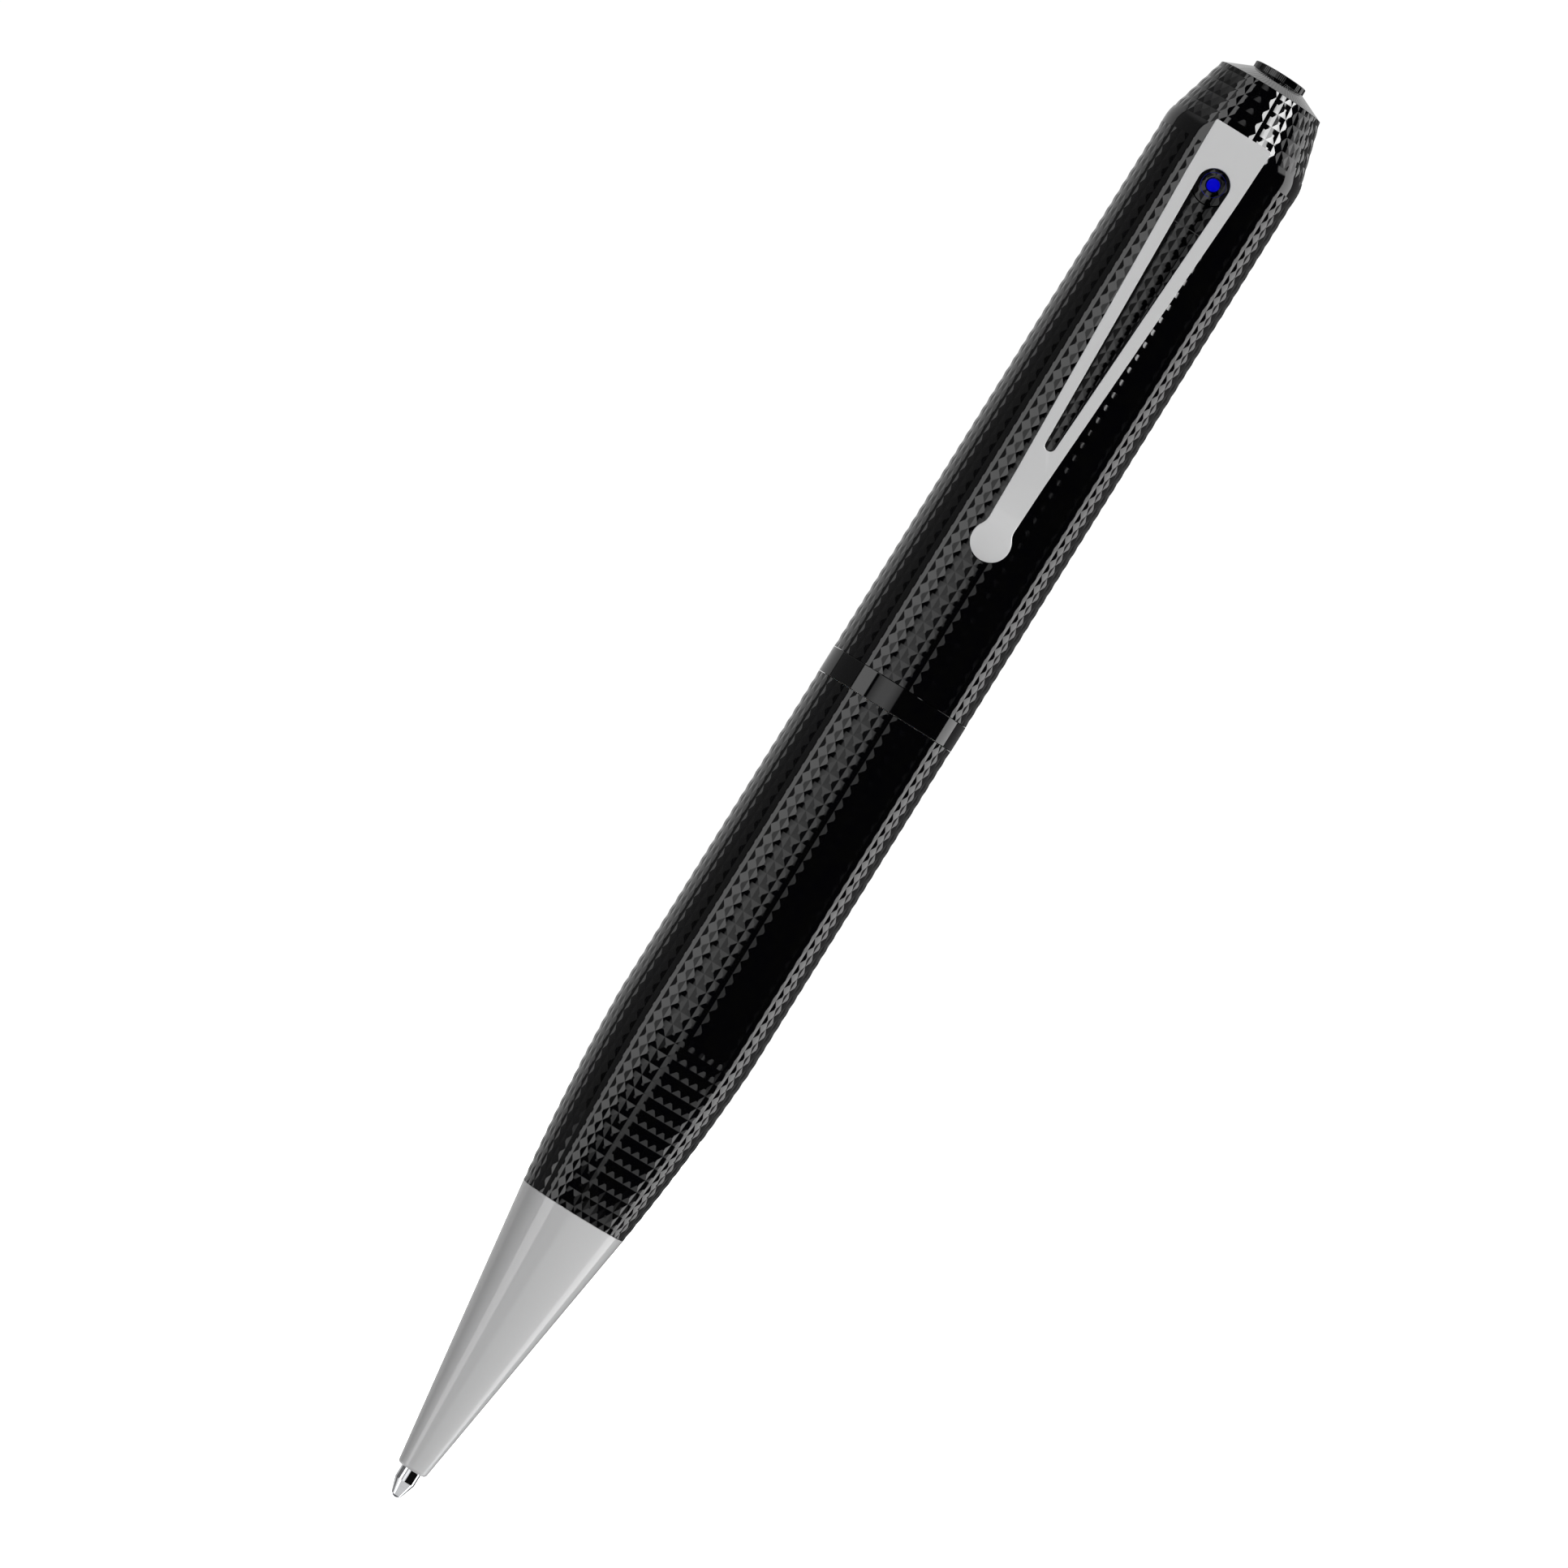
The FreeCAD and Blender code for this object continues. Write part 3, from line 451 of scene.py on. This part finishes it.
def makeWindowInsert():
    # cut from the same skin, so its pyramids line up with the barrel's
    heights = rowHeights(cuts["upperRow"], bandHigh, barrelTop)
    heights = [z for z in heights if abs(z - lensHeight) < window["rowReach"]]
    low, high = lensHeight - window["reach"], min(lensHeight + window["reach"], barrelTop)
    insert = makeWall("cutWindowInsert", heights, low, high)
    carve(insert, makeRod(window["seat"] - window["gap"]), "INTERSECT")
    carve(insert, makeRod(window["mouth"]))
    settle(insert, "upper_half", "lacqueredBrass", ["window_bezel"])


def makePinholeRing():
    inner, outer = window["ring"] - window["ringWidth"] / 2, window["ring"] + window["ringWidth"] / 2
    bm = bmesh.new()
    turn(bm, [(inner, 0), (outer, 0), (outer, 1), (inner, 1)], fineSteps)
    bmesh.ops.rotate(bm, verts=bm.verts, matrix=Matrix.Rotation(math.pi / 2, 3, "X"))
    bmesh.ops.translate(bm, verts=bm.verts, vec=(0, window["ringBack"] - barrelRadius, lensHeight))
    for vert in bm.verts:
        if vert.co.y < window["ringBack"] / 2 - barrelRadius:  # its front follows the barrel
            vert.co.y = window["ringInset"] - math.sqrt(barrelRadius ** 2 - vert.co.x ** 2)
    smoothShade(bm)
    settle(toObject(bm, "pinholeRing"), "upper_half", "blueAnodised")


cap = {"corner": 142.0, "cornerRound": 0.45, "taper": 0.2815, "rimHeight": 148.2, "bore": 5.75,
       "rimBore": 4.3, "rows": 5}


def taperRadius(height):
    return barrelRadius - max(0, height - cap["corner"]) * cap["taper"]


def makeEndCap():
    # a cut taper above a smooth ring
    bm = bmesh.new()
    low = cuts["taperRow"]
    rise = cuts["pitch"] * math.cos(math.atan(cap["taper"]))
    rows = [(taperRadius(low + rise * k), low + rise * k) for k in range(cap["rows"] + 1)]
    cutSkin(bm, rows, low, cap["rimHeight"])
    closeWall(bm, [(cap["bore"], low), (cap["rimBore"], cap["rimHeight"])])
    ring = bmesh.new()
    turn(ring, [
        (cap["bore"], barrelTop),
        (barrelRadius, barrelTop),
        (barrelRadius, cap["corner"]),
        (taperRadius(low), low),
        (cap["bore"], low),
    ], roundSteps)
    corner = [e for e in ring.edges if all(abs(v.co.z - cap["corner"]) < sameHeight for v in e.verts)]
    bevelEdges(ring, corner, cap["cornerRound"], 6)
    smoothShade(ring)
    joinTo(bm, ring)
    settle(toObject(bm, "cutEndCap"), "upper_half", "lacqueredBrass", ["end_cap"])


makeLowerBarrel()
makeUpperBarrel()
makeWindowInsert()
makePinholeRing()
makeEndCap()
print("barrel cut")


def turnedPiece(name, outline, steps, body, material, node, edge=0.0):
    bm = bmesh.new()
    turn(bm, outline, steps)
    if edge:
        corners = [e for e in bm.edges if e.is_manifold and e.calc_face_angle() > math.radians(20)]
        bevelEdges(bm, corners, edge, 2)
    smoothShade(bm, 12)
    settle(toObject(bm, name), body, material, [node])


band = {"edge": 0.03}


def makeBand():
    inner = edgeOf("twist_core", 1, 0)
    outline = [(inner, bandLow), (barrelRadius, bandLow), (barrelRadius, bandHigh), (inner, bandHigh)]
    turnedPiece("jointBand", outline, roundSteps, "twist_ring", "lacqueredBrass", "joint_band", band["edge"])


nose = {
    "end": 2.85,  # height of the writing end's face
    "endRadius": 1.47,
    "endRound": 0.34,
    "roundTo": -9.5,  # degrees, where the round meets the cone
    "bore": 1.05,
    "boreLength": 2.6,
    "deepBore": 1.3,
    "deepLength": 12,
    "wideBore": 3.4,
    "wideBelow": 3,
    "seamRadius": 5.25,
    "edge": 0.03,
    "spigot": 4.4,
    "spigotTop": 35.0,
}


def makeNose():
    roundCentre = (nose["endRadius"] - nose["endRound"], nose["end"] + nose["endRound"])
    turnedPiece("noseCone", [
        (nose["bore"], nose["end"]),
        *arcPoints(roundCentre, nose["endRound"], -90, nose["roundTo"], 7),
        (nose["seamRadius"], noseSeam - nose["edge"]),
        (nose["seamRadius"] - nose["edge"], noseSeam),
        (nose["spigot"], noseSeam),
        (nose["spigot"], nose["spigotTop"]),
        (nose["wideBore"], nose["spigotTop"]),
        (nose["wideBore"], noseSeam - nose["wideBelow"]),
        (nose["deepBore"], nose["end"] + nose["deepLength"]),
        (nose["deepBore"], nose["end"] + nose["boreLength"]),
        (nose["bore"], nose["end"] + nose["boreLength"]),
    ], roundSteps, "lower_half", "satinNickel", "nose_cone")


point = {
    "seatTip": 0.84,
    "seatFloor": (0.38, 0.64),
    "seatMouth": (0.4, 0.22),
    "lip": (0.47, 0.22),
    "lipEdge": (0.51, 0.27),
    "coneTop": (0.96, 1.6),
    "shank": (0.98, 1.66),
    "top": 5.6,
}


def makePoint():
    turnedPiece("writingPoint", [
        (0, point["seatTip"]),
        point["seatFloor"],
        point["seatMouth"],
        point["lip"],
        point["lipEdge"],
        point["coneTop"],
        point["shank"],
        (point["shank"][0], point["top"]),
        (0, point["top"]),
    ], fineSteps, "refill", "polishedPoint", "refill_point")


crown = {
    "rimRadius": 5.195,
    "rimHeight": 148.2,
    "rimEdge": 0.03,
    "rimInset": (0.02, 0.06),  # the rim's broken edge, above and below
    "mouth": 2.68,
    "mouthEdge": 0.03,
    "floor": 148.55,
    "stem": 1.65,
    "underside": 147.5,
    "spigot": 4.3,
    "spigotLow": 146.6,
    "spigotBore": 3.4,
    "rays": 96,
    "rayDepth": 0.012,
    "rayStart": 0.01,  # rays begin this far above the rim and outside the mouth
}


def makeCrown():
    above, below = crown["rimInset"]
    bm = bmesh.new()
    turn(bm, [
        (crown["stem"], crown["underside"]),
        (crown["stem"], crown["floor"]),
        (crown["mouth"], crown["floor"]),
        (crown["mouth"], rimTop - crown["mouthEdge"]),
        (crown["mouth"] + crown["mouthEdge"], rimTop),
        (crown["rimRadius"] - above, crown["rimHeight"] + crown["rimEdge"]),
        (crown["rimRadius"] - below, crown["rimHeight"]),
        (crown["spigot"], crown["rimHeight"]),
        (crown["spigot"], crown["spigotLow"]),
        (crown["spigotBore"], crown["spigotLow"]),
        (crown["spigotBore"], crown["underside"]),
    ], 2 * crown["rays"])
    for vert in bm.verts:
        ray = round(math.atan2(vert.co.y, vert.co.x) * crown["rays"] / math.pi)
        raised = vert.co.z > crown["rimHeight"] + crown["rayStart"]
        outside = vert.co.xy.length > crown["mouth"] + crown["rayStart"]
        if ray % 2 and raised and outside:
            vert.co.z -= crown["rayDepth"]
    smoothShade(bm, 5)
    settle(toObject(bm, "crownPlate"), "upper_half", "lacqueredBrass", ["crown"])


button = {
    "radius": 2.58,
    "low": 149.0,  # underside of the head
    "lowEdge": 0.05,
    "edge": 0.08,
    "edgeMiddle": (0.02, 0.03),
    "topInset": 0.005,
    "dishRadius": 0.6,
    "dishDepth": 0.015,
    "flutes": 96,
    "fluteDepth": 0.012,
    "fluteReach": 0.06,  # only the outside of the head is fluted
    "stem": 1.6,
    "foot": 146.45,
    "groove": 1.2,
    "grooveLow": 146.9,
    "grooveHigh": 147.45,
}


def makeButton():
    low, radius, stem = button["low"], button["radius"], button["stem"]
    top = penTop - button["topInset"]
    across, down = button["edgeMiddle"]
    bm = bmesh.new()
    turn(bm, [
        (0, button["foot"]),
        (stem, button["foot"]),
        (stem, button["grooveLow"]),
        (button["groove"], button["grooveLow"]),
        (button["groove"], button["grooveHigh"]),
        (stem, button["grooveHigh"]),
        (stem, low),
        (radius - button["lowEdge"], low),
        (radius, low + button["lowEdge"]),
        (radius, penTop - button["edge"]),
        (radius - across, penTop - down),
        (radius - button["edge"], top),
        (button["dishRadius"], top),
        (0, top - button["dishDepth"]),
    ], 2 * button["flutes"])
    for vert in bm.verts:
        flute = round(math.atan2(vert.co.y, vert.co.x) * button["flutes"] / math.pi)
        if vert.co.xy.length > radius - button["fluteReach"] and flute % 2:
            vert.co.xy *= 1 - button["fluteDepth"] / radius
    smoothShade(bm, 5)
    settle(toObject(bm, "flutedButton"), "record_button", "lacqueredBrass", ["record_button"])


makeBand()
makeNose()
makePoint()
makeCrown()
makeButton()
print("turned pieces made")


clip = {
    "faceDepth": 8.9,  # the face's distance in front of the axis, at the top and at the neck
    "neckDepth": 8.2,
    "thickness": 0.8,
    "flare": 0.35,
    "bend": 0.16,
    "bendLength": 1.7,
    "bendSteps": 8,
    "topHalf": 2.88,
    "shoulder": (2.74, 137.5),  # half width and height
    "waist": (1.45, 107.4),
    "neck": (1.32, 103.6),
    "paddle": 1.87,
    "fillet": 1.6,
    "slotTop": (1.51, 137.87),
    "slotLow": (0.5, 110.6),
    "corner": 0.18,
    "edge": 0.06,
    "bump": 0.5,
    "bumpSink": 0.15,
    "bumpRise": 1.2,
    "facing": 0.97,  # a face whose normal is at least this much forwards is flat
}


def clipDepth(height):
    # the strip leans in from the top to the neck, and the paddle flares out again
    top = edgeOf("clip_foot", 0, 2)
    neck = clip["neck"][1]
    low = edgeOf("pocket_clip", 0, 2)
    if height >= top:
        return clip["faceDepth"]
    if height >= neck:
        return clip["neckDepth"] + (clip["faceDepth"] - clip["neckDepth"]) * (height - neck) / (top - neck)
    bent = min(1, (neck - height) / clip["bendLength"])
    bend = clip["bend"] * bent ** 2 * (3 - 2 * bent)
    return clip["neckDepth"] + bend + (clip["flare"] - clip["bend"]) * (height - neck) / (low - neck)


def clipOutline():
    low, high = edgeOf("pocket_clip", 0, 2), edgeOf("pocket_clip", 1, 2)
    paddle, fillet, corner = clip["paddle"], clip["fillet"], clip["corner"]
    aside = clip["neck"][0] + fillet
    lift = math.sqrt((paddle + fillet) ** 2 - aside ** 2)
    swing = math.degrees(math.atan2(lift, aside))
    right = [
        *arcPoints((0, low + paddle), paddle, -90, swing, 24),
        *arcPoints((aside, low + paddle + lift), fillet, swing + 180, 180, 8)[1:],
        clip["waist"],
        clip["shoulder"],
        *arcPoints((clip["topHalf"] - corner, high - corner), corner, 0, 90, 5),
    ]
    return right + [(-x, z) for x, z in reversed(right[1:])]


def clipSlot():
    (wide, top), (narrow, low) = clip["slotTop"], clip["slotLow"]
    return arcPoints((0, top), wide, 0, 180, 20) + arcPoints((0, low), narrow, 180, 360, 12)


def makeClip():
    bm = bmesh.new()
    edges = loopOf(bm, clipOutline()) + loopOf(bm, clipSlot())
    bmesh.ops.triangle_fill(bm, edges=edges, use_beauty=True, use_dissolve=False)
    inside = [e for e in bm.edges if not e.is_boundary]
    bmesh.ops.dissolve_limit(bm, angle_limit=0.01, verts=bm.verts, edges=inside)
    neckHeight = clip["neck"][1]
    for k in range(clip["bendSteps"] + 1):
        cutAcross(bm, neckHeight - clip["bendLength"] * k / clip["bendSteps"])
    cutAcross(bm, edgeOf("clip_foot", 0, 2))
    flat = bmesh.ops.extrude_face_region(bm, geom=bm.faces[:])["geom"]
    raised = [v for v in flat if isinstance(v, bmesh.types.BMVert)]
    bmesh.ops.translate(bm, verts=raised, vec=(0, clip["thickness"], 0))
    bmesh.ops.recalc_face_normals(bm, faces=bm.faces)
    sides = [e for e in bm.edges if e.calc_face_angle(0) > math.radians(60)]
    bevelEdges(bm, [e for e in sides if abs(e.verts[0].co.y - e.verts[1].co.y) < tiny], clip["edge"], 3)
    for vert in bm.verts:
        vert.co.y -= clipDepth(vert.co.z)
    smoothShade(bm, 40)
    for edge in bm.edges:  # the flat faces keep their own shading, apart from the rounded rims
        forwards = [abs(face.normal.y) > clip["facing"] for face in edge.link_faces]
        edge.smooth = edge.smooth and all(forwards) == any(forwards)
    bump = bmesh.new()
    spot = (0, clip["thickness"] - clip["bumpSink"] - clip["neckDepth"], neckHeight + clip["bumpRise"])
    bmesh.ops.create_uvsphere(bump, u_segments=32, v_segments=16, radius=clip["bump"],
                              matrix=Matrix.Translation(spot))
    smoothShade(bump)
    joinTo(bm, bump)
    settle(toObject(bm, "satinClip"), "pocket_clip", "satinNickel", ["pocket_clip"])


makeClip()
print("clip made")

# the pieces that keep their shape
kept = {
    "clip_foot": "satinNickel",
    "writing_ball": "groundCarbide",
    "refill_tube": "turnedBrass",
    "ink_column": "inkPaste",
    "refill_holder": "acetal",
    "cam_pin": "stampedStainless",
    "guide_tube": "turnedBrass",
    "refill_spring": "drawnSteel",
    "twist_core": "acetal",
    "snap_ring": "drawnSteel",
    "tail_plug": "mouldedNylon",
    "friction_ring": "nitrile",
    "main_board": "solderMask",
    "processor_chip": "mouldedEpoxy",
    "charge_chip": "mouldedEpoxy",
    "clock_crystal": "stampedStainless",
    "usb_shell": "stampedStainless",
    "usb_tongue": "mouldedNylon",
    "card_socket": "stampedStainless",
    "memory_card": "mouldedEpoxy",
    "reset_switch": "mouldedEpoxy",
    "reset_button": "acetal",
    "battery": "shrinkFilm",
    "battery_pads": "closedCellFoam",
    "flex_cable": "polyimide",
    "camera_carrier": "mouldedNylon",
    "camera_board": "solderMask",
    "camera_housing": "mouldedNylon",
    "carrier_screws": "stampedStainless",
    "image_sensor": "siliconDie",
    "lens_barrel": "mouldedNylon",
    "lens_element": "coatedLens",
    "camera_window": "windowGlass",
    "top_board": "solderMask",
    "switch_housing": "stampedStainless",
    "switch_plunger": "mouldedNylon",
    "microphone": "turnedBrass",
    "status_led": "clearResin",
    "button_retainer": "drawnSteel",
}
for node, material in kept.items():
    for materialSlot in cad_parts[node].material_slots:
        materialSlot.material = materials[material]

studio = {
    "white": 1.02,
    "board": "#E8E8E8",
    "boardRoughness": 0.9,
    "boardGlow": 0.85,
    "floorSize": 2.5,
    "floorDrop": 35,  # low enough to clear the lower half when it is pulled out
    "fill": 0.006,
    # flat boxes: left and right limits in degrees from the clip's side, low and high limits, brightness
    # and soft edge
    "boxes": [
        (-64, -40, -50, 60, 2.3, 0.7),
        (98, 122, -50, 60, 2.7, 0.7),
        (80, 98, 19, 60, 1.8, 2.0),
        (124, 168, -50, 60, 0.15, 1.0),
        (-180, -117, -50, 60, 0.65, 2.0),
        (150, 180, 12, 60, 1.0, 3.0),
        (-180, -150, 12, 60, 0.5, 3.0),
        (-115, -66, -50, 60, 0.17, 1.0),
        (-115, -66, 24, 60, 0.4, 8.0),
        (-2, 45, -31, -16.8, 0.85, 0.7),
        (45, 75, -31, -15, 0.85, 0.7),
        (75, 100, -31, -12.7, 0.85, 0.7),
        (-180, 180, 62, 90, 1.3, 2.0),
        (-180, 180, -90, -31, 0.8, 2.0),
    ],
    # round lamps: azimuth and height of the middle, radius, brightness in the middle, soft edge
    "lamps": [
        (-14.5, 5.5, 21, 1.4, 1.2),
        (39, 28.2, 15.3, 20.0, 0.4),
    ],
    "lampCore": 0.4,  # part of a lamp's radius that is evenly bright
    "lampRim": 0.45,  # brightness at the rim against the middle
}


def ramp(tree, source, begin, end, low, high, kind="SMOOTHSTEP"):
    limits = {"From Min": math.radians(begin), "From Max": math.radians(end), "To Min": low, "To Max": high}
    limits["interpolation_type"] = kind
    return addNode(tree, "ShaderNodeMapRange", limits, {"Value": source}).outputs[0]


def combine(tree, operation, *values):
    # sockets and plain numbers through one maths node
    links = {slot: value for slot, value in enumerate(values) if isinstance(value, bpy.types.NodeSocket)}
    numbers = {slot: value for slot, value in enumerate(values) if slot not in links}
    return addNode(tree, "ShaderNodeMath", {"operation": operation, **numbers}, links).outputs[0]


def product(tree, factors):
    total = factors[0]
    for factor in factors[1:]:
        total = combine(tree, "MULTIPLY", total, factor)
    return total


def makeLight():
    world = bpy.data.worlds.new("softStudio")
    bpy.context.scene.world = world
    world.use_nodes = True
    tree = world.node_tree
    tree.nodes.clear()
    toward = addNode(tree, "ShaderNodeTexCoord").outputs["Generated"]
    way = addNode(tree, "ShaderNodeSeparateXYZ", {}, {0: toward})
    front = combine(tree, "MULTIPLY", way.outputs["Y"], -1.0)
    turned = combine(tree, "ARCTAN2", way.outputs["X"], front)
    raised = combine(tree, "ARCSINE", way.outputs["Z"])
    glows = []
    for west, east, low, high, brightness, soft in studio["boxes"]:
        sides = [(turned, west, 1), (turned, east, -1), (raised, low, 1), (raised, high, -1)]
        sides = [side for side in sides if abs(side[1]) not in (90, 180)]  # no edge at a pole or at the back
        factors = [ramp(tree, source, limit - side * soft, limit + side * soft, 0, 1)
                   for source, limit, side in sides]
        glows.append((product(tree, factors), brightness))
    for azimuth, height, radius, brightness, soft in studio["lamps"]:
        swing, rise = math.radians(azimuth), math.radians(height)
        middle = (math.sin(swing) * math.cos(rise), -math.cos(swing) * math.cos(rise), math.sin(rise))
        near = addNode(tree, "ShaderNodeVectorMath", {"operation": "DOT_PRODUCT", 1: middle}, {0: toward})
        away = combine(tree, "ARCCOSINE", near.outputs["Value"])
        inside = ramp(tree, away, radius + soft, radius - soft, 0, 1)
        fade = ramp(tree, away, radius * studio["lampCore"], radius, 1, studio["lampRim"], "LINEAR")
        glows.append((product(tree, [inside, fade]), brightness))
    total = studio["fill"]
    for glow, brightness in glows:
        total = combine(tree, "MULTIPLY_ADD", glow, brightness, total)
    white = linear("#FFFFFF")
    rig = addNode(tree, "ShaderNodeBackground", {"Color": white}, {"Strength": total})
    plain = addNode(tree, "ShaderNodeBackground", {"Color": white, "Strength": studio["white"]})
    seen = addNode(tree, "ShaderNodeLightPath").outputs["Is Camera Ray"]
    both = addNode(tree, "ShaderNodeMixShader", {}, {0: seen, 1: rig.outputs[0], 2: plain.outputs[0]})
    addNode(tree, "ShaderNodeOutputWorld", {}, {"Surface": both.outputs[0]})


def makeFloor():
    # pale sweep of matt board, lit evenly enough to read as white
    material = newMaterial("paleBoard", {
        "Base Color": linear(studio["board"]),
        "Roughness": studio["boardRoughness"],
        "Emission Color": linear("#FFFFFF"),
        "Emission Strength": studio["boardGlow"],
    })[0]
    bm = bmesh.new()
    bmesh.ops.create_grid(bm, x_segments=1, y_segments=1, size=studio["floorSize"])
    bmesh.ops.translate(bm, verts=bm.verts, vec=(0, 0, -studio["floorDrop"] * mm))
    floor = toObject(bm, "floor")
    floor.data.materials.append(material)
    floor.visible_glossy = False


# metres, with the lean in degrees and the lens and sensor in millimetres
view = {"distance": 1.016, "height": 0.0726, "aside": -0.0042, "lean": 31.96, "lens": 260.5, "sensor": 36,
        "farLimit": 20}


def makeCamera():
    camera = bpy.data.objects.new("camera", bpy.data.cameras.new("camera"))
    bpy.context.scene.collection.objects.link(camera)
    camera.data.lens = view["lens"]
    camera.data.sensor_width = view["sensor"]
    camera.data.clip_end = view["farLimit"]
    lean = math.radians(view["lean"])
    right = Vector((math.cos(lean), 0, math.sin(lean)))
    up = Vector((-math.sin(lean), 0, math.cos(lean)))
    back = Vector((0, -1, 0))
    pose = Matrix((right, up, back)).transposed().to_4x4()
    pose.translation = (view["aside"], -view["distance"], view["height"])
    camera.matrix_world = pose
    bpy.context.scene.camera = camera


makeLight()
makeFloor()
makeCamera()
bpy.context.scene.view_settings.view_transform = "Standard"
print("stage set")
